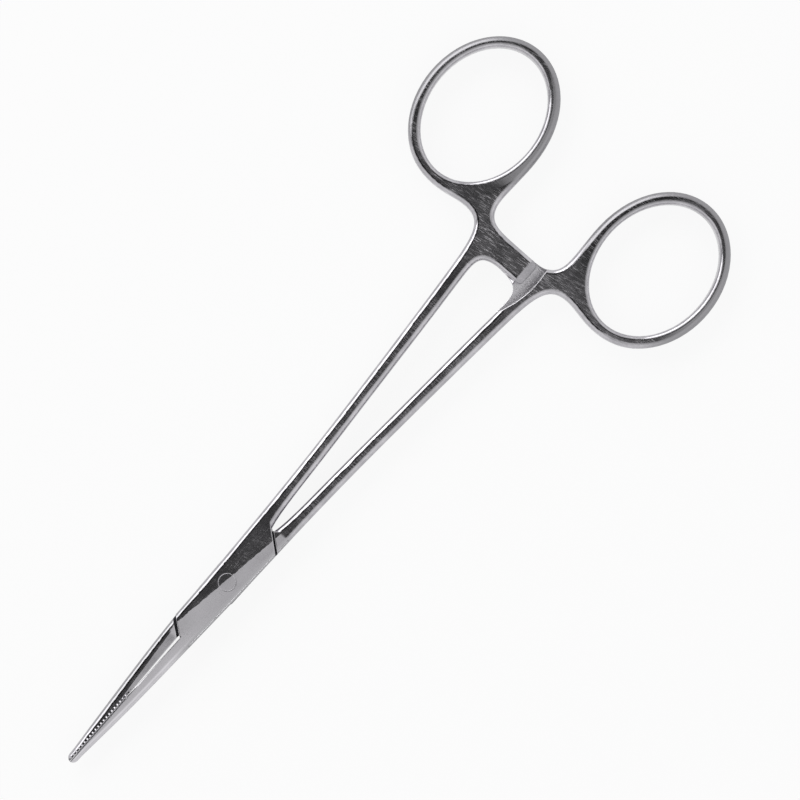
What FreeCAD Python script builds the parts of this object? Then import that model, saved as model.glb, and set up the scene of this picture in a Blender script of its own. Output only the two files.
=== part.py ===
import FreeCAD, Part

import math
import os

import Sketcher
from FreeCAD import Placement, Rotation, Vector

# Straight haemostatic forceps with a box lock: two forged halves and the rivet that joins them.
# Millimetres. X runs from the finger rings to the jaw tips, Y across the instrument, Z up.
# The origin lies on the rivet's axis, on the underside of the box.

# Driving dimensions: name, value and what it measures
drivingSizes = [
    ("overall_length", 140.0, "back of the rings to the jaw tips"),
    ("tip_reach", 39.7, "rivet axis to the jaw tips"),
    ("ring_opening_length", 24.2, "finger opening, long way"),
    ("ring_opening_width", 19.0, "finger opening, short way"),
    ("ring_offset", 19.1, "centre of a finger opening from the centre line"),
    ("ring_toe_in", 3.0, "angle of a finger opening to the centre line, degrees"),
    ("ring_lead", 0.8, "how much further forward the tongue half's ring lies"),
    ("ring_band", 1.95, "width of the ring's band seen from above"),
    ("ring_thickness", 3.8, "height of the rings and the ratchet web"),
    ("shank_thickness", 3.4, "height of the shanks at mid length"),
    ("shank_rear_width", 2.5, "width of a shank beside the ratchet"),
    ("shank_middle_width", 2.25, "width of a shank at mid length"),
    ("shank_front_width", 2.35, "width of a shank near the box"),
    ("shank_rear_gap", 4.45, "centre line to a shank's inner edge beside the ratchet"),
    ("shank_middle_gap", 2.5, "centre line to a shank's inner edge at mid length"),
    ("shank_front_gap", 1.3, "centre line to a shank's inner edge near the box"),
    ("ring_to_ratchet", 15.15, "middle of the box half's finger opening to the middle of the ratchet arms"),
    ("arm_width", 4.6, "width of a ratchet arm along the instrument"),
    ("arm_reach", 4.1, "how far a ratchet arm passes the centre line"),
    ("arm_gap", 0.1, "running gap between the crests of the two arms"),
    ("arm_corner", 0.9, "round of an arm's corners seen from above"),
    ("arm_bevel", 1.3, "length of the slope on the end of a ratchet arm"),
    ("web_blend", 4.6, "inner curve from a ring to its shank"),
    ("land_edge", 6.1, "centre line to the shoulder of the milled ratchet land"),
    ("first_tooth", 3.1, "centre line to the first ratchet tooth"),
    ("tooth_pitch", 1.45, "spacing of the ratchet teeth"),
    ("tooth_height", 0.65, "height of the ratchet teeth"),
    ("tooth_total", 4, "number of ratchet teeth on an arm"),
    ("box_thickness", 4.5, "height of the box"),
    ("box_rear_width", 6.4, "width of the box at its rear shoulder"),
    ("box_middle_width", 6.0, "width of the box at the rivet"),
    ("box_rear", 8.5, "rivet axis to the outer end of the rear shoulder"),
    ("box_front", 9.8, "rivet axis to the outer end of the front shoulder"),
    ("shoulder_slant", 2.6, "how far a shoulder leans along the instrument"),
    ("shoulder_gap", 0.46, "gap between the plates' edges and the tongue half's shoulders"),
    ("tongue_thickness", 1.6, "height of the tongue in the box"),
    ("slot_clearance", 0.04, "gap above and below the tongue"),
    ("wall_clearance", 0.1, "gap between the tongue and the slot's end walls"),
    ("open_stop", 1.8, "rivet axis to the slot wall's end, which stops the opening"),
    ("pin_diameter", 2.3, "rivet shank"),
    ("pin_head", 2.9, "rivet ends, spread in their countersinks"),
    ("pin_head_depth", 0.5, "depth of the countersinks"),
    ("pin_clearance", 0.03, "radial gap between the rivet and the tongue"),
    ("jaw_root_box_half", 2.45, "width of the box half's jaw beside the box"),
    ("jaw_root_tongue_half", 2.9, "width of the tongue half's jaw beside the box"),
    ("jaw_middle", 1.95, "width of a jaw at mid length"),
    ("jaw_gap", 0.2, "centre line to a jaw's face beside the box"),
    ("jaw_touch", 0.02, "centre line to a jaw's face beside the serrations"),
    ("tip_radius", 1.0, "round of a jaw's tip"),
    ("tip_thickness", 2.3, "height of the jaws at the tip"),
    ("serration_length", 14.0, "length of the serrated part of a jaw"),
    ("serration_pitch", 0.69, "spacing of the jaw serrations"),
    ("serration_depth", 0.26, "depth of the jaw serrations"),
    ("serration_clearance", 0.05, "gap between the interlocked serrations"),
    ("edge_round", 0.8, "round of the outer edges"),
    ("inner_round", 0.7, "round of the finger openings' edges"),
]


class Size:
    """A number together with the sheet expression that gives it."""

    def __init__(self, number, text):
        self.number = float(number)
        self.text = text

    def __add__(self, other):
        other = asSize(other)
        return Size(self.number + other.number, "(" + self.text + " + " + other.text + ")")

    def __radd__(self, other):
        return asSize(other) + self

    def __sub__(self, other):
        other = asSize(other)
        return Size(self.number - other.number, "(" + self.text + " - " + other.text + ")")

    def __rsub__(self, other):
        return asSize(other) - self

    def __mul__(self, other):
        other = asSize(other)
        return Size(self.number * other.number, "(" + self.text + " * " + other.text + ")")

    def __rmul__(self, other):
        return asSize(other) * self

    def __truediv__(self, other):
        other = asSize(other)
        return Size(self.number / other.number, "(" + self.text + " / " + other.text + ")")

    def __neg__(self):
        return Size(-self.number, "(0 - " + self.text + ")")


def asSize(value):
    if isinstance(value, Size):
        return value
    return Size(value, "(" + repr(float(value)) + ")")


doc = FreeCAD.newDocument("forceps")
sheet = doc.addObject("Spreadsheet::Sheet", "dims")
size = {}
for row, (name, value, meaning) in enumerate(drivingSizes, start=1):
    sheet.set("A" + str(row), name)
    sheet.set("B" + str(row), str(value))
    sheet.set("C" + str(row), meaning)
    sheet.setAlias("B" + str(row), name)
    size[name] = Size(value, "dims." + name)
doc.recompute()


def newBody(name):
    body = doc.addObject("PartDesign::Body", name)
    body.Label = name
    body.setExpression("Placement.Base.z", (size["box_thickness"] / 2).text)
    return body


def newSketch(body, name, role, height=None):
    sketch = body.newObject("Sketcher::SketchObject", name)
    plane = [feature for feature in body.Origin.OriginFeatures if feature.Role == role][0]
    sketch.AttachmentSupport = (plane, [""])
    sketch.MapMode = "FlatFace"
    if height is not None:
        sketch.AttachmentOffset = Placement(Vector(0, 0, height.number), Rotation())
        sketch.setExpression("AttachmentOffset.Base.z", height.text)
    return sketch


def holdPoint(held, geometry, position, point):
    for kind, value in zip(("DistanceX", "DistanceY"), point):
        value = asSize(value)
        held.append((Sketcher.Constraint(kind, geometry, position, value.number), value.text))


def holdAll(sketch, held):
    # A sketch's constraints go in at once, then each size is bound to its own
    first = sketch.ConstraintCount
    sketch.addConstraint([constraint for constraint, text in held])
    for index, (constraint, text) in enumerate(held, start=first):
        if text:
            sketch.setExpression("Constraints[" + str(index) + "]", text)


def toVector(point):
    return Vector(asSize(point[0]).number, asSize(point[1]).number, 0)


def addLine(sketch, start, end):
    return sketch.addGeometry(Part.LineSegment(toVector(start), toVector(end)), False), 1, 2


def addSpline(sketch, held, poles):
    curve = Part.BSplineCurve([toVector(pole) for pole in poles], None, None, False, 3, None, False)
    geometry = sketch.addGeometry(curve, False)
    marks = [sketch.addGeometry(Part.Circle(toVector(pole), Vector(0, 0, 1), 1.0), True) for pole in poles]
    held.append((Sketcher.Constraint("Weight", marks[0], 1.0), None))
    for index, (mark, pole) in enumerate(zip(marks, poles)):
        if index > 0:
            held.append((Sketcher.Constraint("Equal", marks[0], mark), None))
        held.append((Sketcher.Constraint(
            "InternalAlignment:Sketcher::BSplineControlPoint", mark, 3, geometry, index), None))
        holdPoint(held, mark, 3, pole)
    return geometry, 1, 2


def addArc(sketch, held, start, end, radius, turn):
    # The arc runs from start to end, anticlockwise where turn is 1 and clockwise where it is -1
    first = toVector(start)
    last = toVector(end)
    chord = last - first
    middle = (first + last) * 0.5
    rise = math.sqrt(max(radius.number ** 2 - (chord.Length / 2) ** 2, 0))
    normal = Vector(-chord.y, chord.x, 0) / chord.Length
    centre = middle + normal * rise * turn
    low, high = (first, last) if turn > 0 else (last, first)
    lowAngle = math.atan2(low.y - centre.y, low.x - centre.x)
    highAngle = math.atan2(high.y - centre.y, high.x - centre.x)
    if highAngle <= lowAngle:
        highAngle += 2 * math.pi
    circle = Part.Circle(centre, Vector(0, 0, 1), radius.number)
    geometry = sketch.addGeometry(Part.ArcOfCircle(circle, lowAngle, highAngle), False)
    held.append((Sketcher.Constraint("Radius", geometry, radius.number), radius.text))
    return (geometry, 1, 2) if turn > 0 else (geometry, 2, 1)


def drawLoop(sketch, edges):
    # Each edge is (kind, points, ...) and starts where the edge before it ends
    ends = []
    held = []
    for kind, points, *rest in edges:
        if kind == "line":
            ends.append(addLine(sketch, *points))
        elif kind == "arc":
            ends.append(addArc(sketch, held, *points, *rest))
        else:
            ends.append(addSpline(sketch, held, points))
    for index, (geometry, startEnd, lastEnd) in enumerate(ends):
        previous = ends[index - 1]
        held.append((Sketcher.Constraint("Coincident", previous[0], previous[2], geometry, startEnd), None))
        kind, points = edges[index][:2]
        if kind != "spline" and edges[index - 1][0] != "spline":
            holdPoint(held, geometry, startEnd, points[0])
    holdAll(sketch, held)


def drawPolygon(sketch, corners):
    pairs = zip(corners, corners[1:] + corners[:1])
    drawLoop(sketch, [("line", pair) for pair in pairs])


def drawEllipse(sketch, centre, long, short, tilt):
    middle = toVector(centre)
    along = Vector(math.cos(math.radians(tilt.number)), math.sin(math.radians(tilt.number)), 0)
    across = Vector(-along.y, along.x, 0)
    geometry = sketch.addGeometry(
        Part.Ellipse(middle + along * long.number, middle + across * short.number, middle), False)
    before = sketch.GeometryCount
    sketch.exposeInternalGeometry(geometry)
    held = []
    holdPoint(held, geometry, 3, centre)
    for axis, length in ((before, long), (before + 1, short)):
        held.append((Sketcher.Constraint("Distance", axis, 2 * length.number), (2 * length).text))
    held.append((Sketcher.Constraint("Angle", before, math.radians(tilt.number)), tilt.text))
    holdAll(sketch, held)


def newFeature(body, kind, name, profile, **settings):
    feature = body.newObject("PartDesign::" + kind, name)
    feature.Profile = profile
    for key, value in settings.items():
        if isinstance(value, Size):
            setattr(feature, key, value.number)
            feature.setExpression(key, value.text)
        else:
            setattr(feature, key, value)
    profile.Visibility = False
    doc.recompute()
    return feature


def pocketAll(body, name, sketch):
    return newFeature(body, "Pocket", name, sketch, Type="ThroughAll", Midplane=True)


# Places that both halves share, across = +1 on the half's own side of the centre line
half = size["box_thickness"] / 2
ringBackReach = size["overall_length"] - size["tip_reach"]
ringLong = size["ring_opening_length"] / 2
ringShort = size["ring_opening_width"] / 2
boxHalfRingX = -ringBackReach + ringLong + size["ring_band"]
tongueHalfRingX = boxHalfRingX + size["ring_lead"]
armBack = boxHalfRingX + size["ring_to_ratchet"] - size["arm_width"] / 2
armFront = boxHalfRingX + size["ring_to_ratchet"] + size["arm_width"] / 2
crotchX = -size["box_rear"] - size["shoulder_slant"] - 0.3
crotchY = size["shank_front_gap"] - 1.0
jawRootX = size["box_front"] + size["shoulder_slant"] - 0.3
boxSide = size["box_middle_width"] / 2
boxRearSide = size["box_rear_width"] / 2
tipCentreX = size["tip_reach"] - size["tip_radius"]
serrationX = size["tip_reach"] - size["serration_length"]
serrationFace = (size["serration_depth"] - size["serration_clearance"]) / 2
serrationRidge = 0.06
serrationTotal = int((size["serration_length"].number - 1.2) / size["serration_pitch"].number)
shankX = [armFront + 4.8, armFront + 14.5, armFront * 0.58, -size["box_rear"] - 14.5]


def ringPole(ringX, angle):
    # Control points this far out of an ellipse, 30 degrees apart, give a smooth curve that lies on it
    spread = 3 / (2 + math.cos(math.radians(30)))
    along = (ringLong + size["ring_band"]) * (spread * math.cos(math.radians(angle)))
    across = (ringShort + size["ring_band"]) * (spread * math.sin(math.radians(angle)))
    return ringX + along, size["ring_offset"] + across


def blankOutline(side, ringX, jawRoot):
    def at(x, y):
        return x, asSize(y) * side

    shankWidth = [size["shank_rear_width"], size["shank_rear_width"],
                  size["shank_middle_width"], size["shank_front_width"]]
    innerGap = [size["shank_rear_gap"] - 0.35, size["shank_rear_gap"] - 1.1,
                size["shank_middle_gap"], size["shank_front_gap"]]
    outer = [at(size["box_front"] + 1.2, boxSide - 0.1), at(size["box_front"] - 6.8, boxSide - 0.1)]
    outer.append(at(-size["box_rear"], boxRearSide))
    for x, gap, width in reversed(list(zip(shankX, innerGap, shankWidth))):
        outer.append(at(x, gap + width))
    webX = ringX + ringLong + size["ring_band"]
    outer.append(at(webX + 2.3, size["shank_rear_gap"] + size["shank_rear_width"] + 0.35))
    outer.append(at(webX - 0.6, size["shank_rear_gap"] + size["shank_rear_width"] + 2.0))
    outer.append(at(webX - 0.9, size["shank_rear_gap"] + size["shank_rear_width"] + 5.6))
    for angle in range(-10, 261, 30):
        x, y = ringPole(ringX, angle)
        outer.append(at(x, y))
    outer.append(at(armBack - 8.2, size["ring_offset"] - ringShort - size["ring_band"] - 0.2))
    outer.append(at(armBack - 3.0, size["ring_offset"] - ringShort - size["ring_band"] + 0.2))
    outer.append(at(armBack - 0.5, size["ring_offset"] - ringShort - size["ring_band"] - 1.2))
    outer.append(at(armBack, size["shank_rear_gap"] - 0.6))
    outer.append(at(armBack, size["shank_rear_gap"] / 2 - 0.5))
    armRoot = at(armBack, 0)
    outer.append(armRoot)
    corner = size["arm_corner"]
    backSide = at(armBack, corner - size["arm_reach"])
    backEnd = at(armBack + corner, -size["arm_reach"])
    frontEnd = at(armFront - corner, -size["arm_reach"])
    frontSide = at(armFront, corner - size["arm_reach"])
    armSide = at(armFront, size["shank_rear_gap"] - size["web_blend"])
    inner = [armSide, at(armFront + 0.05, size["shank_rear_gap"] - size["web_blend"] * 0.42)]
    inner.append(at(armFront + size["web_blend"] * 0.25, size["shank_rear_gap"] - 0.15))
    for x, gap in zip(shankX, innerGap):
        inner.append(at(x, gap))
    inner.append(at(crotchX - 2.6, size["shank_front_gap"] - 0.35))
    crotch = at(crotchX, crotchY)
    inner.append(crotch)
    shoulderEnd = at(-size["box_rear"], -boxRearSide)
    jaw = [shoulderEnd, at(Size(0, "(0)"), -boxSide - 0.02), at(size["box_front"] + 1.5, -jawRoot)]
    jaw.append(at((size["box_front"] + tipCentreX) / 2, -size["jaw_middle"] - 0.03))
    tipWidth = size["tip_radius"] - serrationFace
    jaw.append(at(tipCentreX - 4, -tipWidth - 0.3))
    jaw.append(at(tipCentreX - 1.2, -tipWidth))
    tipSide = at(tipCentreX, -tipWidth)
    jaw.append(tipSide)
    tipEnd = at(size["tip_reach"], serrationFace)
    tipBeyond = at(tipCentreX, serrationFace + size["tip_radius"])
    rootBeyond = at(jawRootX, serrationFace + size["tip_radius"])
    frontShoulder = outer[0]
    return [
        ("spline", outer),
        ("line", (armRoot, backSide)),
        ("arc", (backSide, backEnd), corner, side),
        ("line", (backEnd, frontEnd)),
        ("arc", (frontEnd, frontSide), corner, side),
        ("line", (frontSide, armSide)),
        ("spline", inner),
        ("line", (crotch, shoulderEnd)),
        ("spline", jaw),
        ("arc", (tipSide, tipEnd), size["tip_radius"], side),
        ("arc", (tipEnd, tipBeyond), size["tip_radius"], side),
        ("line", (tipBeyond, rootBeyond)),
        ("line", (rootBeyond, frontShoulder)),
    ]


def sideProfile(body, name):
    # Height of the half along its length, the same above and below its middle plane
    ring = size["ring_thickness"] / 2
    shank = size["shank_thickness"] / 2
    tip = size["tip_thickness"] / 2
    rearEnd = -ringBackReach - 2
    frontEnd = size["tip_reach"] + 2
    flatRear = crotchX - 1
    flatFront = jawRootX + 0.5
    beyond = half + 2
    sketch = newSketch(body, name + "_heights", "XZ_Plane")
    for up in (1, -1):
        rear = [(rearEnd, ring * up), (armBack - 12, ring * up), (armBack, ring * up)]
        rear += [(armFront + 5, ring * up), (armFront + 20, shank * up), (flatRear - 18, shank * up)]
        rear += [(flatRear - 9, (shank + half) * 0.5 * up), (flatRear - 4, half * up), (flatRear, half * up)]
        jaw = [(flatFront, half * up), (flatFront + 3, half * up)]
        jaw += [(flatFront + 10, (half * 0.6 + tip * 0.4) * up), (flatFront + 19, (half * 0.25 + tip * 0.75) * up)]
        jaw += [(frontEnd, tip * up)]
        drawLoop(sketch, [
            ("spline", rear),
            ("line", (rear[-1], jaw[0])),
            ("spline", jaw),
            ("line", (jaw[-1], (frontEnd, beyond * up))),
            ("line", ((frontEnd, beyond * up), (rearEnd, beyond * up))),
            ("line", ((rearEnd, beyond * up), rear[0])),
        ])
    newFeature(body, "Pocket", name + "_height_cut", sketch, Length=size["overall_length"], Midplane=True)


def roundEdges(body, name, radius, wanted):
    # Rounds the edges between an upper or lower face and a side face that wanted() accepts
    base = body.Tip
    shape = base.Shape
    names = []
    for index, edge in enumerate(shape.Edges, start=1):
        faces = shape.ancestorsOfType(edge, Part.Face)
        if len(faces) != 2:
            continue
        rises = [abs(face.normalAt(*middleOf(face)).z) for face in faces]
        if max(rises) > 0.8 and min(rises) < 0.2:
            wall = faces[rises.index(min(rises))]
            if wanted(wall, edge):
                names.append("Edge" + str(index))
    feature = body.newObject("PartDesign::Fillet", name)
    feature.Base = (base, names)
    feature.Radius = radius.number
    feature.setExpression("Radius", radius.text)
    doc.recompute()
    return feature


def middleOf(face):
    low, high, near, far = face.ParameterRange
    return (low + high) / 2, (near + far) / 2


def forgedBlank(name, side, ringX, jawRoot):
    body = newBody(name)
    plan = newSketch(body, name + "_plan", "XY_Plane")
    drawLoop(plan, blankOutline(side, ringX, jawRoot))
    drawEllipse(plan, (ringX, size["ring_offset"] * side), ringLong, ringShort, -size["ring_toe_in"] * side)
    newFeature(body, "Pad", name + "_forging", plan, Length=size["box_thickness"] + 1, SideType="Symmetric")
    sideProfile(body, name)
    centre = Vector(ringX.number, size["ring_offset"].number * side, 0)
    reach = (ringLong + ringShort).number / 2 + size["ring_band"].number / 2

    def inRing(edge):
        middle = edge.valueAt((edge.FirstParameter + edge.LastParameter) / 2)
        away = Vector(middle.x, middle.y, 0) - centre
        return (away.x / ringLong.number) ** 2 + (away.y / ringShort.number) ** 2 < 1.1

    def isOuter(wall, edge):
        if inRing(edge):
            return False
        if isinstance(wall.Surface, Part.Plane):
            return wall.CenterOfMass.x < armFront.number + 0.1
        return True

    roundEdges(body, name + "_edges", size["edge_round"], isOuter)
    roundEdges(body, name + "_opening_edges", size["inner_round"], lambda wall, edge: inRing(edge))
    return body


def cutJawFace(body, name, side, serrationStart, serrationEnd):
    # The gripping face, with the serrated stretch standing proud, and the shoulder in front of the box
    beyond = boxSide + 2
    front = size["tip_reach"] + 1
    shoulderRun = (size["shoulder_slant"] - 0.3) / (boxSide - 0.08)
    tipFace = -size["serration_clearance"] / 2
    root = -(size["serration_depth"] + size["serration_clearance"]) / 2
    relief = serrationStart - size["serration_pitch"] * 0.55
    corners = [
        (front, tipFace * side),
        (serrationEnd, tipFace * side),
        (serrationEnd, serrationFace * side),
        (serrationStart, serrationFace * side),
        (serrationStart, root * side),
        (relief, root * side),
        (relief, -size["jaw_touch"] * side),
        (jawRootX, -size["jaw_gap"] * side),
        (jawRootX - shoulderRun * (beyond + size["jaw_gap"]), beyond * side),
        (front, beyond * side),
    ]
    sketch = newSketch(body, name + "_jaw_face", "XY_Plane")
    drawPolygon(sketch, corners)
    pocketAll(body, name + "_jaw_face_cut", sketch)


def cutSerrations(body, name, side, firstX, total):
    # Grooves across the jaw's face; the other jaw's ridges stand in them
    pitch = size["serration_pitch"]
    root = -(size["serration_depth"] + size["serration_clearance"]) / 2
    beyond = serrationFace + 0.1
    corners = [
        (firstX, serrationFace * side),
        (firstX + (pitch - serrationRidge) / 2, root * side),
        (firstX + (pitch - serrationRidge), serrationFace * side),
        (firstX + (pitch - serrationRidge), beyond * side),
        (firstX, beyond * side),
    ]
    sketch = newSketch(body, name + "_serration", "XY_Plane")
    drawPolygon(sketch, corners)
    groove = pocketAll(body, name + "_serration_cut", sketch)
    pattern = body.newObject("PartDesign::LinearPattern", name + "_serrations")
    pattern.Originals = [groove]
    pattern.Direction = (sketch, ["H_Axis"])
    pattern.Length = pitch.number * (total - 1)
    pattern.setExpression("Length", (pitch * (total - 1)).text)
    pattern.Occurrences = total
    body.Tip = pattern
    doc.recompute()


def cutRatchet(body, name, side):
    # Half of the arm's height is milled away on the side that faces the other arm.
    # The land lies one tooth deep; the teeth stand up beyond it, steep towards the land.
    crest = size["arm_gap"] / 2
    root = crest + size["tooth_height"]
    far = size["arm_reach"] + 2
    back = armBack - 1
    edge = size["land_edge"]
    runOut = armFront + 8
    land = newSketch(body, name + "_land", "XY_Plane", -crest * side)
    drawLoop(land, [
        ("line", ((back, -far * side), (runOut, -far * side))),
        ("line", ((runOut, -far * side), (runOut, (edge - 3.2) * side))),
        ("spline", [(runOut, (edge - 3.2) * side), (armFront + 3, (edge - 0.2) * side),
                    (armFront - 1, (edge + 0.3) * side), (back, (edge - 0.5) * side)]),
        ("line", ((back, (edge - 0.5) * side), (back, -far * side))),
    ])
    newFeature(body, "Pocket", name + "_arm_cut", land, Type="ThroughAll", Reversed=side > 0)
    low = newSketch(body, name + "_land_floor", "XY_Plane", -crest * side)
    drawLoop(low, [
        ("line", ((back, size["first_tooth"] * side), (runOut, size["first_tooth"] * side))),
        ("line", ((runOut, size["first_tooth"] * side), (runOut, (edge - 3.2) * side))),
        ("spline", [(runOut, (edge - 3.2) * side), (armFront + 3, (edge - 0.2) * side),
                    (armFront - 1, (edge + 0.3) * side), (back, (edge - 0.5) * side)]),
        ("line", ((back, (edge - 0.5) * side), (back, size["first_tooth"] * side))),
    ])
    newFeature(body, "Pocket", name + "_land_cut", low, Length=size["tooth_height"], Reversed=side < 0)
    pitch = size["tooth_pitch"]
    flat = 0.25
    start = size["first_tooth"] - flat
    beside = armFront + 3
    across = size["arm_width"] + 6
    tooth = newSketch(body, name + "_tooth", "YZ_Plane", beside)
    drawPolygon(tooth, [
        (start * side, -crest * side),
        ((start - (pitch - flat)) * side, -root * side),
        ((start - (pitch - flat)) * side, -crest * side),
    ])
    notch = newFeature(body, "Pocket", name + "_tooth_cut", tooth, Length=across)
    pattern = body.newObject("PartDesign::LinearPattern", name + "_teeth")
    pattern.Originals = [notch]
    pattern.Direction = (tooth, ["H_Axis"])
    pattern.Reversed = side > 0
    total = int(size["tooth_total"].number)
    pattern.Length = pitch.number * (total - 1)
    pattern.setExpression("Length", (pitch * (total - 1)).text)
    pattern.Occurrences = total
    body.Tip = pattern
    doc.recompute()
    bevel = newSketch(body, name + "_arm_bevel", "YZ_Plane", beside)
    outerFace = size["ring_thickness"] / 2
    reach = size["arm_reach"]
    slope = size["arm_bevel"]
    drawPolygon(bevel, [
        (-(reach - slope) * side, -outerFace * side - 0.01 * side),
        (-(reach + 1) * side, -outerFace * side - 0.01 * side),
        (-(reach + 1) * side, -(outerFace - slope * 0.5) * side),
        (-reach * side, -(outerFace - slope * 0.5) * side),
    ])
    newFeature(body, "Pocket", name + "_arm_bevel_cut", bevel, Length=across)


# The slot runs slantwise through the box, from the tongue half's shank to its jaw.
# Its two end walls meet the box's sides at open_stop from the rivet, which stops the opening.
def wallPoint(share, clearance=0):
    # A point on the rear wall's line: 0 at the crotch, 1 at the box's side
    x = crotchX + (-size["open_stop"] - crotchX) * share
    return x, crotchY + (boxRearSide - crotchY) * share - clearance


def cutSlot(body, side):
    near = wallPoint(-1.2)
    far = wallPoint(2.2)
    corners = [
        (near[0], near[1] * side),
        (far[0], far[1] * side),
        (-near[0], -near[1] * side),
        (-far[0], -far[1] * side),
    ]
    slot = newSketch(body, body.Name + "_slot", "XY_Plane")
    drawPolygon(slot, corners)
    height = size["tongue_thickness"] + 2 * size["slot_clearance"]
    newFeature(body, "Pocket", body.Name + "_slot_cut", slot, Length=height, Midplane=True)


def rivetOutline():
    radius = size["pin_diameter"] / 2
    head = size["pin_head"] / 2
    neck = half - size["pin_head_depth"]
    return [(0, -half), (head, -half), (radius, -neck), (radius, neck), (head, half), (0, half)]


def revolve(body, name, kind):
    sketch = newSketch(body, name + "_profile", "XZ_Plane")
    drawPolygon(sketch, rivetOutline())
    return newFeature(body, kind, name, sketch, ReferenceAxis=(sketch, ["V_Axis"]), Angle=360)


def cutTongue(body, side):
    # Beyond the slot's walls nothing is left, and the box's plates lie in two recesses
    near = wallPoint(-0.1, size["wall_clearance"])
    far = wallPoint(1.4, size["wall_clearance"])
    beyond = boxSide + 3
    for turn, name in ((1, "rear"), (-1, "front")):
        corner = newSketch(body, body.Name + "_" + name + "_corner", "XY_Plane")
        drawPolygon(corner, [
            (near[0] * turn, -near[1] * side * turn),
            (near[0] * turn, -beyond * side * turn),
            (far[0] * turn, -beyond * side * turn),
            (far[0] * turn, -far[1] * side * turn),
        ])
        pocketAll(body, body.Name + "_" + name + "_corner_cut", corner)
    rearRun = (-size["box_rear"] - crotchX) / (boxRearSide + crotchY)
    frontRun = (jawRootX - size["box_front"]) / boxSide
    for up, name in ((1, "upper"), (-1, "lower")):
        recess = newSketch(body, body.Name + "_" + name + "_recess", "XY_Plane", size["tongue_thickness"] / 2 * up)
        corners = []
        for across in (-beyond, beyond):
            rear = crotchX - size["shoulder_gap"] + rearRun * (across + crotchY)
            front = jawRootX + size["shoulder_gap"] + frontRun * across
            corners.append([(rear, across * side), (front, across * side)])
        drawPolygon(recess, corners[0] + corners[1][::-1])
        newFeature(body, "Pocket", body.Name + "_" + name + "_recess_cut", recess,
                   Type="ThroughAll", Reversed=up > 0)
    bore = newSketch(body, body.Name + "_bore", "XY_Plane")
    radius = size["pin_diameter"] / 2 + size["pin_clearance"]
    circle = bore.addGeometry(Part.Circle(Vector(0, 0, 0), Vector(0, 0, 1), radius.number), False)
    bore.addConstraint(Sketcher.Constraint("Coincident", circle, 3, -1, 1))
    holdAll(bore, [(Sketcher.Constraint("Radius", circle, radius.number), radius.text)])
    pocketAll(body, body.Name + "_bore_cut", bore)


boxHalf = forgedBlank("box_half", -1, boxHalfRingX, size["jaw_root_box_half"])
tongueHalf = forgedBlank("tongue_half", 1, tongueHalfRingX, size["jaw_root_tongue_half"])
pitch = size["serration_pitch"]
lastGroove = serrationX + pitch * (serrationTotal - 0.5)
cutJawFace(boxHalf, "box_half", -1, serrationX - serrationRidge / 2, lastGroove)
cutSerrations(boxHalf, "box_half", -1, serrationX + serrationRidge / 2, serrationTotal)
cutJawFace(tongueHalf, "tongue_half", 1, serrationX + (pitch - serrationRidge) / 2, lastGroove + serrationRidge / 2)
cutSerrations(tongueHalf, "tongue_half", 1, serrationX + (pitch + serrationRidge) / 2, serrationTotal - 1)
for body, side in ((boxHalf, -1), (tongueHalf, 1)):
    cutRatchet(body, body.Label, side)
cutSlot(boxHalf, -1)
revolve(boxHalf, "rivet_seat", "Groove")
cutTongue(tongueHalf, 1)
pivotPin = newBody("pivot_pin")
revolve(pivotPin, "rivet", "Revolution")

doc.recompute()
parts = [boxHalf, tongueHalf, pivotPin]
for item in doc.Objects:
    if {"Invalid", "Error"} & set(item.State):
        raise RuntimeError(item.Name + " failed")
for body in parts:
    if body.Shape.isNull() or not body.Shape.isValid() or len(body.Shape.Solids) != 1:
        raise RuntimeError(body.Label + " is not one sound solid")
os.makedirs("parts", exist_ok=True)
for body in parts:
    body.Shape.exportStep("parts/" + body.Label + ".step")
    print(body.Label, round(body.Shape.Volume, 1), "cubic mm")
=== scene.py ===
import math
from types import SimpleNamespace

import bpy
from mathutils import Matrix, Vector

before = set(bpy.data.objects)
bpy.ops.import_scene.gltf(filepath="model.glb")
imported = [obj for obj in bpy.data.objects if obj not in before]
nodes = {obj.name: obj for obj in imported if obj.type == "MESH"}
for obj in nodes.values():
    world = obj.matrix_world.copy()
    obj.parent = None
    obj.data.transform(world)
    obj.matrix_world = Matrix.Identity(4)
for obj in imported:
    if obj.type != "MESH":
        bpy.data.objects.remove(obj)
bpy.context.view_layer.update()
print("frame loaded")


def pickNone():
    bpy.ops.object.select_all(action="DESELECT")
    bpy.context.view_layer.objects.active = None


# Shader maths as Python expressions: a Value is one socket of one material's or world's tree.
# A span is a pair of numbers: where a change starts and where it ends
class Value:
    def __init__(self, board, socket):
        self.board = board
        self.socket = socket

    def work(self, operation, *others):
        return self.board.node("ShaderNodeMath", {"operation": operation}, [self, *others])

    def __add__(self, other):
        return self.work("ADD", other)

    def __sub__(self, other):
        return self.work("SUBTRACT", other)

    def __rsub__(self, other):
        return self.board.node("ShaderNodeMath", {"operation": "SUBTRACT"}, [other, self])

    def __mul__(self, other):
        return self.work("MULTIPLY", other)

    def __truediv__(self, other):
        return self.work("DIVIDE", other)

    __radd__ = __add__
    __rmul__ = __mul__

    def size(self):
        return self.work("ABSOLUTE")

    def atLeast(self, low):
        return self.work("MAXIMUM", low)

    def atMost(self, high):
        return self.work("MINIMUM", high)

    def clamped(self):
        return self.atMost(1.0).atLeast(0.0)

    def rise(self, span):
        # 0 before the span, 1 past it, smooth between
        low, high = span
        return self.board.node("ShaderNodeMapRange", {"interpolation_type": "SMOOTHSTEP"}, {
            "Value": self, "From Min": low, "From Max": high})

    def fall(self, span):
        return 1 - self.rise(span)

    def near(self, place, span):
        # 1 at the place and 0 further from it than the span
        return (self - place).size().fall(span)


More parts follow.
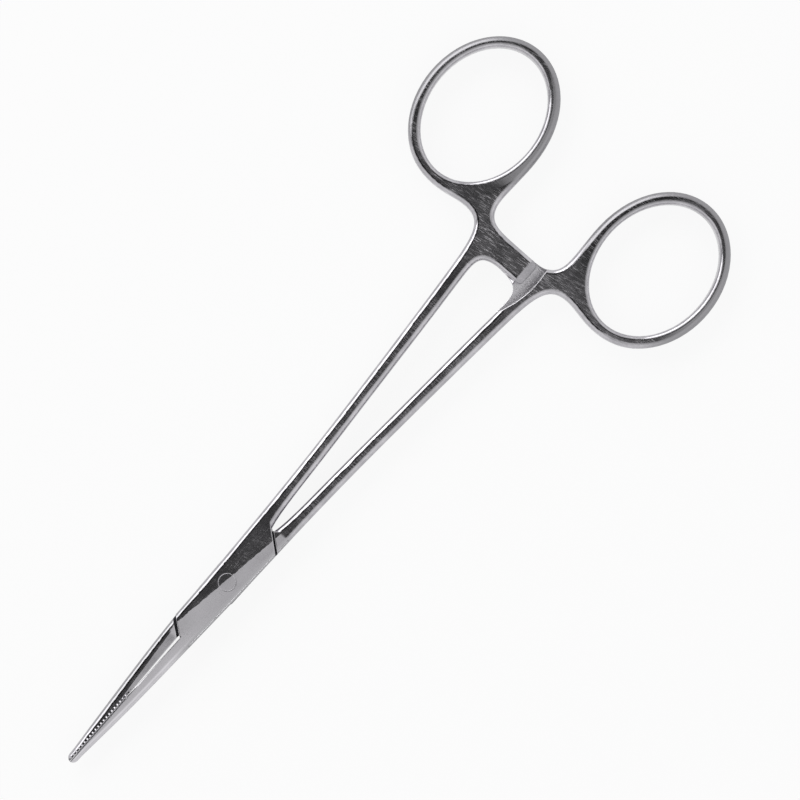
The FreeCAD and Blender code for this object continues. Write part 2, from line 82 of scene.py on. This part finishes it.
class Board:
    # One material's or world's nodes, laid out in rows as they are made
    columns = 24
    columnWidth = 180
    rowHeight = 220

    def __init__(self, tree):
        self.tree = tree
        tree.nodes.clear()

    def node(self, kind, settings=None, inputs=None, output=0):
        made = self.tree.nodes.new(kind)
        row, column = divmod(len(self.tree.nodes), self.columns)
        made.location = (self.columnWidth * column, -self.rowHeight * row)
        for key, value in (settings or {}).items():
            setattr(made, key, value)
        pairs = inputs.items() if isinstance(inputs, dict) else enumerate(inputs or [])
        for key, value in pairs:
            if isinstance(value, Value):
                self.tree.links.new(value.socket, made.inputs[key])
            else:
                made.inputs[key].default_value = value
        return Value(self, made.outputs[output]) if made.outputs else made

    def split(self, vector):
        parts = self.node("ShaderNodeSeparateXYZ", inputs=[vector]).socket.node
        return [Value(self, output) for output in parts.outputs]

    def grain(self, x, y, z, stretch, lean, scale, detail, rough):
        first = x * stretch[0] + y * lean[0]
        second = y * stretch[1] + x * lean[1]
        place = self.node("ShaderNodeCombineXYZ", inputs=[first, second, z * stretch[2]])
        return self.node("ShaderNodeTexNoise", inputs={
            "Vector": place, "Scale": scale, "Detail": detail, "Roughness": rough})

    def mixColour(self, share, first, second):
        # The node has a set of sockets for each kind of data; these are the ones for colours
        return self.node("ShaderNodeMix", {"data_type": "RGBA"}, {0: share, 6: first, 7: second}, output=2)


def newMaterial(name):
    material = bpy.data.materials.new(name)
    material.use_nodes = True
    return material, Board(material.node_tree)


# The steel's finish, which works in millimetres
steel = {
    "darkColour": (0.45, 0.44, 0.465, 1.0),
    "lightColour": (0.70, 0.685, 0.715, 1.0),
    "milledColour": (0.86, 0.85, 0.875, 1.0),
    # painted shade: the rings' outer bands are painted darker
    "ringShadeColour": (0.34, 0.335, 0.35, 1.0),
    # painted shade on the rounded rims of one side of the box and of the tongue half's jaw
    "dullColour": (0.42, 0.415, 0.43, 1.0),
    # painted shade: put into the box's slot, the steep box rims, the arm's end and the closed gap
    "paintedShadeColour": (0.10, 0.10, 0.11, 1.0),
    "polishRoughness": 0.10,    # the rounded edges
    "flatRoughness": 0.15,      # the ground tops
    "markRoughness": 0.28,      # added where the grinding left marks
    "ringRoughness": 0.34,      # the rings' outer bands, only brushed
    "streakRoughness": 0.14,    # added in the shanks' crosswise streaks
    "webRoughness": 0.11,       # added on the webs, which are brushed crosswise
    "milledRoughness": 0.48,
    "slotRoughness": 0.55,
    "armEndRoughness": 0.45,
    "waveDepth": 0.16,          # the hand polishing's soft waves
    "markDepth": 0.0055,        # fine lines of the last grinding
    "facetSlope": 0.10,         # tilt of the ground facets
    "jawCrown": 0.050,          # how the box half's jaw falls away outwards
    "ringSlope": 0.16,          # how the rings' tops fall away outwards
    "landSlope": 0.16,          # tilt of the milled lands
    "gapSlope": 0.60,           # the break along the jaw's edge at the gap
    "glintSlope": 0.55,         # where the serrations cut into the jaws' edges
    "groundSheen": 0.60,        # painted sheen: how light the box's front facet is at the rivet, from dark to light
    "groundSheenRise": 0.014,        # added to it for each millimetre towards the jaws
    "groundCover": 0.75,        # how much of the marks' colour that facet's grinding took away
    "groundSmooth": 0.70,       # and how much of their depth
    "webSmooth": 0.35,          # how much shallower the marks are on the webs
    "rimShade": 0.70,           # how dark the painted shade on the steep parts of the box's rims is
    "armEndShade": 0.05,        # how dark the painted shade on the arm's end is
    "armEndWornShade": 0.35,         # added to that painted shade where the polish is worn
    "seamShade": 0.85,          # how dark the painted shade in the closed gap and the notches' roots is
    "lineMarks": 0.35,          # how much of markRoughness the lines have anywhere
    "wornMarks": 0.65,          # and how much more where the polish is worn
    "webEven": 0.15,            # how much of webRoughness is all over the webs,
    "webCloud": 0.8,            # in soft clouds
    "webLines": 0.6,            # and in the lines
    "softEdge": 0.00024,        # m, the rounding of the edges by the last polish
    "edgeSamples": 8,
    "bumpUnit": 0.001,          # m, one millimetre of the heights here
}
rivet = dict(steel, flatRoughness=0.17, softEdge=0.00008)

# Spans along the part's axes, in millimetres
zones = {
    "web": (-69.0, -61.0),              # X, from the webs beside the rings to the shanks
    "ring": (-79.0, -72.0),             # X
    "ringFall": (-83.5, -76.5),         # X, where the fall of the rings' tops ends at the webs
    "ringTop": (3.0, 3.4),              # Z
    "shankBack": (-63.0, -56.0),        # X
    "shankFront": (-20.0, -13.0),       # X
    "boxBack": (-12.5, -11.5),          # X
    "boxFront": (12.0, 13.0),           # X
    "boxTop": (4.25, 4.35),             # Z
    "jawBack": (11.6, 12.4),            # X
    "jawTop": (2.2, 2.5),               # Z
    "boxHalfJaw": (-0.16, -0.06),       # Y, from the tongue half's jaw to the box half's
    "jawCrown": (7.0, 17.0),            # X
    "gapEdge": (-0.06, 0.0),            # Y
    "gapEnd": (22.0, 24.0),             # X
    "milledBack": (-74.0, -73.0),       # X
    "milledFront": (-61.0, -60.5),      # X
    "armEndNear": (2.75, 2.85),         # Y
    "armEndFar": (4.2, 4.3),            # Y
    "armEndTop": (3.3, 3.4),            # Z
    "armEndBack": (-74.0, -73.6),       # X
    "armEndFront": (-68.6, -68.2),      # X
    "slotBottom": (1.3, 1.4),           # Z
    "slotTop": (3.1, 3.2),              # Z
    "slotEnds": (13.0, 13.4),           # X, both ways from the rivet
    "jawRimBack": (0.0, 9.0),           # X, the rims on the side of the tongue half's jaw that get painted shade
    "jawRimEdge": (-1.3, -0.9),         # Y
    "boxRimBack": (-13.0, -11.5),       # X, the rims on the box's other side that get painted shade
    "boxRimFront": (11.0, 17.0),        # X
    "boxRimEdge": (1.3, 1.7),           # Y
}

# The rings' openings are ellipses, one on each side, the box half's a little further back
ring = {
    "centre": (-85.85, 19.1),
    "stagger": 0.4,
    "halfLength": 12.1,
    "halfWidth": 9.5,
    "meanRadius": 10.6,
    "toeIn": 3.0,                       # degrees
    "fallStart": 0.85,                  # out from the opening's edge
    "fallWidth": 1.25,
    "bandStart": (0.3, 0.7),
    "bandEnd": (2.2, 3.2),
}

# The ground facets and the serrations, as they show on the tops
facets = {
    "lineSlope": 0.15,                  # the line between the box's facets
    "lineOffset": 0.35,
    "lineEnd": 12.0,                    # from here on it runs along X
    "lineWidth": (-0.06, 0.12),
    "lineRagged": 1.9,
    "besideSlope": 0.082,               # the line along the tongue half's jaw
    "besideOffset": 2.61,
    "besideRagged": 0.3,
    "gapBreak": 0.24,                   # how far the break at the gap reaches in
    "toothStart": 25.7,
    "toothPitch": 0.69,
    "rowPlace": -0.27,                  # the row of notches, along Y
    "rowWidth": (0.10, 0.20),
    "rowStart": (23.5, 25.5),
    "seamPlace": 0.08,                  # the painted shade of the closed gap, along Y
    "seamWidth": (0.06, 0.16),
    "seamStart": (23.0, 24.5),
    "lightEnd": 8.0,                    # the front facet's painted sheen gets no lighter past it
}

# The milled lands of the ratchet: their heights, and the span round them
milledHeights = (1.55, 2.95)
milledReach = (0.02, 0.05)

# Noise patterns: how X, Y and Z are stretched, and how far X leans with Y and Y with X
grains = {
    "wave": dict(stretch=(1, 1, 1), lean=(0, 0), scale=0.17, detail=1.0, rough=0.5),
    "cloud": dict(stretch=(1, 1, 1), lean=(0, 0), scale=0.3, detail=4.0, rough=0.6),
    "ragged": dict(stretch=(1, 1, 1), lean=(0, 0), scale=1.1, detail=4.0, rough=0.65),
    "along": dict(stretch=(0.16, 5.0, 4.0), lean=(0, 0), scale=2.6, detail=5.0, rough=0.65),
    "short": dict(stretch=(4.2, 0.5, 3.0), lean=(0.8, 0), scale=2.2, detail=4.0, rough=0.65),
    "slant": dict(stretch=(4.6, 0.42, 3.0), lean=(0.6, -0.05), scale=1.5, detail=5.0, rough=0.7),
    "streak": dict(stretch=(3.6, 0.3, 1), lean=(0, 0), scale=1.7, detail=3.0, rough=0.6),
}

# Spans on the noise, and on how far a face looks up or down
levels = {
    "lines": (0.49, 0.66),
    "worn": (0.35, 0.68),
    "streak": (0.42, 0.62),
    "tooth": (0.0, 0.7),
    "flat": (0.975, 0.997),
    "steep": (0.12, 0.42),
}


def reachFromRing(x, y):
    # Millimetres outward from the finger opening's edge, for whichever ring is on that side of y = 0
    turn = math.radians(ring["toeIn"])
    side = y.work("SIGN")
    along = x - ring["centre"][0] - side * ring["stagger"]
    across = y * side - ring["centre"][1]
    long = (along * math.cos(turn) - across * math.sin(turn)) / ring["halfLength"]
    short = (along * math.sin(turn) + across * math.cos(turn)) / ring["halfWidth"]
    return ((long * long + short * short).work("SQRT") - 1) * ring["meanRadius"]


# Where on the forceps a point is, and how it was finished there. Most run from 0 to 1; x, y, z,
# past (how far it is past the line between the facets) and reach are millimetres
def makeMasks(board):
    place = board.node("ShaderNodeTexCoord", output="Object")
    x, y, z = [metres * 1000 for metres in board.split(place)]
    facing = board.split(board.node("ShaderNodeNewGeometry", output="Normal"))[2].size()
    noise = {name: board.grain(x, y, z, **pattern) for name, pattern in grains.items()}
    at = SimpleNamespace(x=x, y=y, z=z, wave=noise["wave"], cloud=noise["cloud"])
    at.flat = facing.rise(levels["flat"])
    at.steep = facing.fall(levels["steep"])
    at.ragged = (noise["ragged"] - 0.5) * 0.5       # about 0, either way

    # The last grinding's lines: along the shanks and the box, and crosswise on the webs
    at.web = x.fall(zones["web"])
    at.marks = (noise["along"] * 0.5 + noise["short"] * 0.5) * (1 - at.web) + noise["slant"] * at.web
    at.lines = at.marks.rise(levels["lines"])
    at.worn = at.cloud.rise(levels["worn"])
    # Along their middle the shanks are streaked crosswise and duller
    shank = x.rise(zones["shankBack"]) * x.fall(zones["shankFront"]) * at.flat
    at.streak = shank * noise["streak"].rise(levels["streak"])

    # The box's top was ground in two facets that meet on a slanting, ragged line, and the
    # front one runs on over the box half's jaw
    onBox = z.rise(zones["boxTop"]) * x.rise(zones["boxBack"]) * x.fall(zones["boxFront"])
    at.onJaw = z.rise(zones["jawTop"]) * x.rise(zones["jawBack"])
    at.front = (onBox + at.onJaw * y.rise(zones["boxHalfJaw"])).clamped()
    at.past = y + x.atMost(facets["lineEnd"]) * facets["lineSlope"] + facets["lineOffset"]
    over = (at.past + at.ragged * facets["lineRagged"]).rise(facets["lineWidth"])
    at.ground = (at.front * over).clamped()

    # The serrations break through the jaws' edges as a row of bright notches
    turns = (x - facets["toothStart"]) * (2 * math.pi / facets["toothPitch"])
    at.tooth = turns.work("SINE").rise(levels["tooth"])
    at.row = y.near(facets["rowPlace"], facets["rowWidth"]) * x.rise(facets["rowStart"]) * at.onJaw
    at.seam = y.near(facets["seamPlace"], facets["seamWidth"]) * x.rise(facets["seamStart"]) * at.onJaw

    at.reach = reachFromRing(x, y)
    at.outside = x.fall(zones["ring"]) * at.reach.rise(ring["bandStart"])

    # Milled lands of the ratchet: flat, matt and lighter
    lands = [z.near(height, milledReach) for height in milledHeights]
    at.milled = (sum(lands) * x.fall(zones["milledFront"]) * x.rise(zones["milledBack"])).clamped()
    # The slope on the arm's end is coarse, and painted dark as shade, deeper where the polish is worn
    at.armEnd = y.rise(zones["armEndNear"]) * y.fall(zones["armEndFar"]) * z.rise(zones["armEndTop"])
    at.armEnd = at.armEnd * x.fall(zones["armEndFront"]) * x.rise(zones["armEndBack"])
    # Inside the box the slot and the tongue are rough and painted dark as shade in the recess, and the rims
    # beside it get painted shade on their rounded sides
    at.slot = z.rise(zones["slotBottom"]) * z.fall(zones["slotTop"]) * x.size().fall(zones["slotEnds"]) * at.flat
    jawRim = x.rise(zones["jawRimBack"]) * y.fall(zones["jawRimEdge"])
    at.boxRim = x.rise(zones["boxRimBack"]) * x.fall(zones["boxRimFront"]) * y.rise(zones["boxRimEdge"])
    at.dull = jawRim * (1 - at.flat) + at.boxRim * (1 - at.flat)
    return at


def makeHeight(at, settings):
    # All that falls away from the tops, in millimetres
    facet = at.past * at.ground * settings["facetSlope"]
    outward = at.y.atLeast(0.0)
    crown = outward * outward * at.x.rise(zones["jawCrown"]) * settings["jawCrown"]
    facet = (facet + crown) * at.front
    # The tongue half's jaw has such a facet beside the gap
    line = at.y - at.x * facets["besideSlope"] + facets["besideOffset"]
    beside = (line + at.ragged * facets["besideRagged"]).atLeast(0.0)
    facet = facet + beside * at.onJaw * at.y.fall(zones["boxHalfJaw"]) * settings["facetSlope"]
    nearGap = at.y.rise(zones["gapEdge"]) * at.x.fall(zones["gapEnd"]) * at.onJaw
    facet = facet - (at.y - facets["gapBreak"]).atMost(0.0) * nearGap * settings["gapSlope"]
    facet = facet - (at.y - facets["rowPlace"]) * at.row * at.tooth * settings["glintSlope"]
    # Outside the finger openings the rings' tops fall away
    fallen = (at.reach - ring["fallStart"]).atLeast(0.0).atMost(ring["fallWidth"])
    onTop = at.x.fall(zones["ringFall"]) * at.z.rise(zones["ringTop"])
    facet = facet + fallen * onTop * settings["ringSlope"]

    fine = at.marks * at.flat * (1 - at.ground * settings["groundSmooth"])
    fine = fine * (1 - at.web * settings["webSmooth"]) * settings["markDepth"]
    height = at.wave * settings["waveDepth"] - facet + fine
    return height - at.y * at.milled * settings["landSlope"]


def makeColour(board, at, settings):
    # Painted reflection: the box's front facet is painted lighter, more so towards the jaws
    light = settings["groundSheen"] + at.x.atMost(facets["lightEnd"]) * settings["groundSheenRise"]
    share = (at.worn * 0.5 + at.lines * 0.5).clamped()
    share = share * (1 - at.ground * settings["groundCover"]) + at.ground * light
    colour = board.mixColour(share.clamped(), settings["darkColour"], settings["lightColour"])
    # painted shade on the arm's end, deeper in worn patches
    armEnd = at.armEnd * (settings["armEndShade"] + at.worn * settings["armEndWornShade"])
    # painted shade in the closed gap and between the notches
    gap = (at.row * (1 - at.tooth) + at.seam).clamped()
    layers = [
        (at.milled, "milledColour"),
        # painted shade in the recess of the box's slot
        (at.slot, "paintedShadeColour"),
        # painted shade on the rings' outer bands
        (at.outside * at.reach.fall(ring["bandEnd"]), "ringShadeColour"),
        # painted shade on the rounded rims of one side
        (at.dull, "dullColour"),
        # painted shade on the steep parts of the box's rims
        (at.boxRim * at.steep * settings["rimShade"], "paintedShadeColour"),
        (armEnd, "paintedShadeColour"),
        (gap * settings["seamShade"], "paintedShadeColour"),
    ]
    for cover, name in layers:
        colour = board.mixColour(cover, colour, settings[name])
    return colour


def makeRoughness(at, settings):
    marked = at.lines * (settings["lineMarks"] + at.worn * settings["wornMarks"])
    rough = settings["flatRoughness"] + marked * settings["markRoughness"]
    rough = rough + at.streak * settings["streakRoughness"]
    brushed = settings["webEven"] + at.cloud * settings["webCloud"] + at.lines * settings["webLines"]
    rough = rough + at.web * brushed * settings["webRoughness"]
    polish = settings["polishRoughness"] * (1 - at.outside) + settings["ringRoughness"] * at.outside
    rough = polish * (1 - at.flat) + rough * at.flat
    rough = rough * (1 - at.milled) + at.milled * settings["milledRoughness"]
    rough = rough * (1 - at.slot) + at.slot * settings["slotRoughness"]
    return rough.atLeast(at.armEnd * settings["armEndRoughness"])


def makeSteel(name, settings):
    material, board = newMaterial(name)
    at = makeMasks(board)
    soft = board.node("ShaderNodeBevel", {"samples": settings["edgeSamples"]}, {"Radius": settings["softEdge"]})
    normal = board.node("ShaderNodeBump", inputs={
        "Height": makeHeight(at, settings), "Distance": settings["bumpUnit"], "Strength": 1.0, "Normal": soft})
    shader = board.node("ShaderNodeBsdfPrincipled", inputs={
        "Base Color": makeColour(board, at, settings), "Metallic": 1.0,
        "Roughness": makeRoughness(at, settings), "Normal": normal})
    board.node("ShaderNodeOutputMaterial", inputs={"Surface": shader})
    return material


def dress(piece, material):
    piece.data.materials.clear()
    piece.data.materials.append(material)


halfSteel = makeSteel("polishedSteel", steel)
rivetSteel = makeSteel("rivetSteel", rivet)
dress(nodes["box_half"], halfSteel)
dress(nodes["tongue_half"], halfSteel)
dress(nodes["pivot_pin"], rivetSteel)
print("steel made")


# Each span is on one part of the direction that is looked in, from -1 to 1
studio = {
    "floorSize": 6.0,
    "floorColour": (0.86, 0.86, 0.87, 1.0),
    "floorRoughness": 0.9,
    "floorShine": 0.1,
    "floorGlow": 0.90,              # share of the floor's look to the camera that is plain white
    "mirrorGlow": 0.55,             # the same, as the steel mirrors it
    "overhead": 0.050,              # what stands straight above, with a dark ceiling round it
    "overheadSpan": (0.93, 0.985),
    "ceiling": 0.010,
    "whiteSide": 1.2,
    "whiteSpan": (-0.74, -0.54),
    "whiteLean": 0.1,               # how the white's edge turns towards the jaws
    "whiteAhead": 0.42,             # share of the white that is missing towards the jaws
    "aheadSpan": (-0.02, 0.14),
    "greySide": 0.66,
    "greySpan": (0.07, 0.17),
    "greyLean": 0.05,
    "horizon": 0.16,
    "horizonSpan": (0.3, 0.95),
    "ends": 0.90,
    "endsSpan": (0.45, 0.75),
}

# Soft boxes: from which direction each looks at the forceps, how far off it is, in m, and its power in W
lamps = {
    "handleSideLamp": dict(direction=(-0.1, -0.8, 0.6), distance=1.1, width=1.5, height=0.7, power=5.5),
    "farSideLamp": dict(direction=(0.1, 0.75, 0.65), distance=1.2, width=1.6, height=0.8, power=0.7),
}

# In metres, but for the turn about Z in degrees, which is the photograph's
view = {
    "width": 0.13271,               # what the picture shows at the height of the forceps' tops
    "topHeight": 0.0025,
    "distance": 0.58,
    "centre": (-0.0415, 0.0016),
    "turn": 131.28,
    "sensorWidth": 36.0,            # mm
    "nearest": 0.01,
}

white = (1, 1, 1, 1)


def makeFloor(settings):
    pickNone()
    bpy.ops.mesh.primitive_plane_add(size=settings["floorSize"])
    floor = bpy.context.object
    floor.name = "floor"
    material, board = newMaterial("paleFloor")
    rays = board.node("ShaderNodeLightPath").socket.node
    camera, glossy, through = [Value(board, rays.outputs[kind]) for kind in (
        "Is Camera Ray", "Is Glossy Ray", "Is Transmission Ray")]
    seen = camera * settings["floorGlow"] + (glossy + through) * settings["mirrorGlow"]
    cloth = board.node("ShaderNodeBsdfPrincipled", inputs={
        "Base Color": settings["floorColour"], "Roughness": settings["floorRoughness"],
        "Specular IOR Level": settings["floorShine"]})
    glow = board.node("ShaderNodeEmission", inputs={"Color": white, "Strength": 1.0})
    shader = board.node("ShaderNodeMixShader", inputs=[seen.clamped(), cloth, glow])
    board.node("ShaderNodeOutputMaterial", inputs={"Surface": shader})
    floor.data.materials.append(material)


def makeWorld(settings):
    # A plain studio: dark ceiling, white soft box low on the box half's side, grey wall on the other
    world = bpy.data.worlds.new("studio")
    bpy.context.scene.world = world
    world.use_nodes = True
    board = Board(world.node_tree)
    x, y, z = board.split(board.node("ShaderNodeTexCoord", output="Generated"))
    ahead = 1 - x.rise(settings["aheadSpan"]) * settings["whiteAhead"]
    whiteBox = (y + x * settings["whiteLean"]).fall(settings["whiteSpan"]) * ahead * settings["whiteSide"]
    wall = settings["greySide"] + y.rise(settings["horizonSpan"]) * settings["horizon"]
    greyWall = (y + x * settings["greyLean"]).rise(settings["greySpan"]) * wall
    ends = x.size().rise(settings["endsSpan"]) * settings["ends"]
    above = z.rise(settings["overheadSpan"]) * settings["overhead"] + settings["ceiling"]
    glow = whiteBox.atLeast(greyWall).atLeast(ends).atLeast(above)
    # The camera itself sees plain white
    seen = board.node("ShaderNodeLightPath", output="Is Camera Ray")
    back = board.node("ShaderNodeBackground", inputs={"Color": white, "Strength": glow * (1 - seen) + seen})
    board.node("ShaderNodeOutputWorld", inputs={"Surface": back})


def addLamp(name, direction, distance, width, height, power):
    away = Vector(direction).normalized()
    bpy.ops.object.light_add(type="AREA", location=Vector((*view["centre"], 0)) + away * distance)
    lamp = bpy.context.object
    lamp.name = name
    lamp.rotation_euler = away.to_track_quat("Z", "Y").to_euler()
    lamp.data.shape = "RECTANGLE"
    lamp.data.size = width
    lamp.data.size_y = height
    lamp.data.energy = power


def makeCamera(settings):
    bpy.ops.object.camera_add(location=(*settings["centre"], settings["distance"]))
    camera = bpy.context.object
    camera.name = "camera"
    camera.rotation_euler = (0, 0, math.radians(settings["turn"]))
    camera.data.sensor_width = settings["sensorWidth"]
    reach = settings["distance"] - settings["topHeight"]
    camera.data.lens = settings["sensorWidth"] * reach / settings["width"]
    camera.data.clip_start = settings["nearest"]
    bpy.context.scene.camera = camera


makeFloor(studio)
makeWorld(studio)
for name, lamp in lamps.items():
    addLamp(name, **lamp)
makeCamera(view)
bpy.context.scene.view_settings.view_transform = "Standard"
print("stage made")
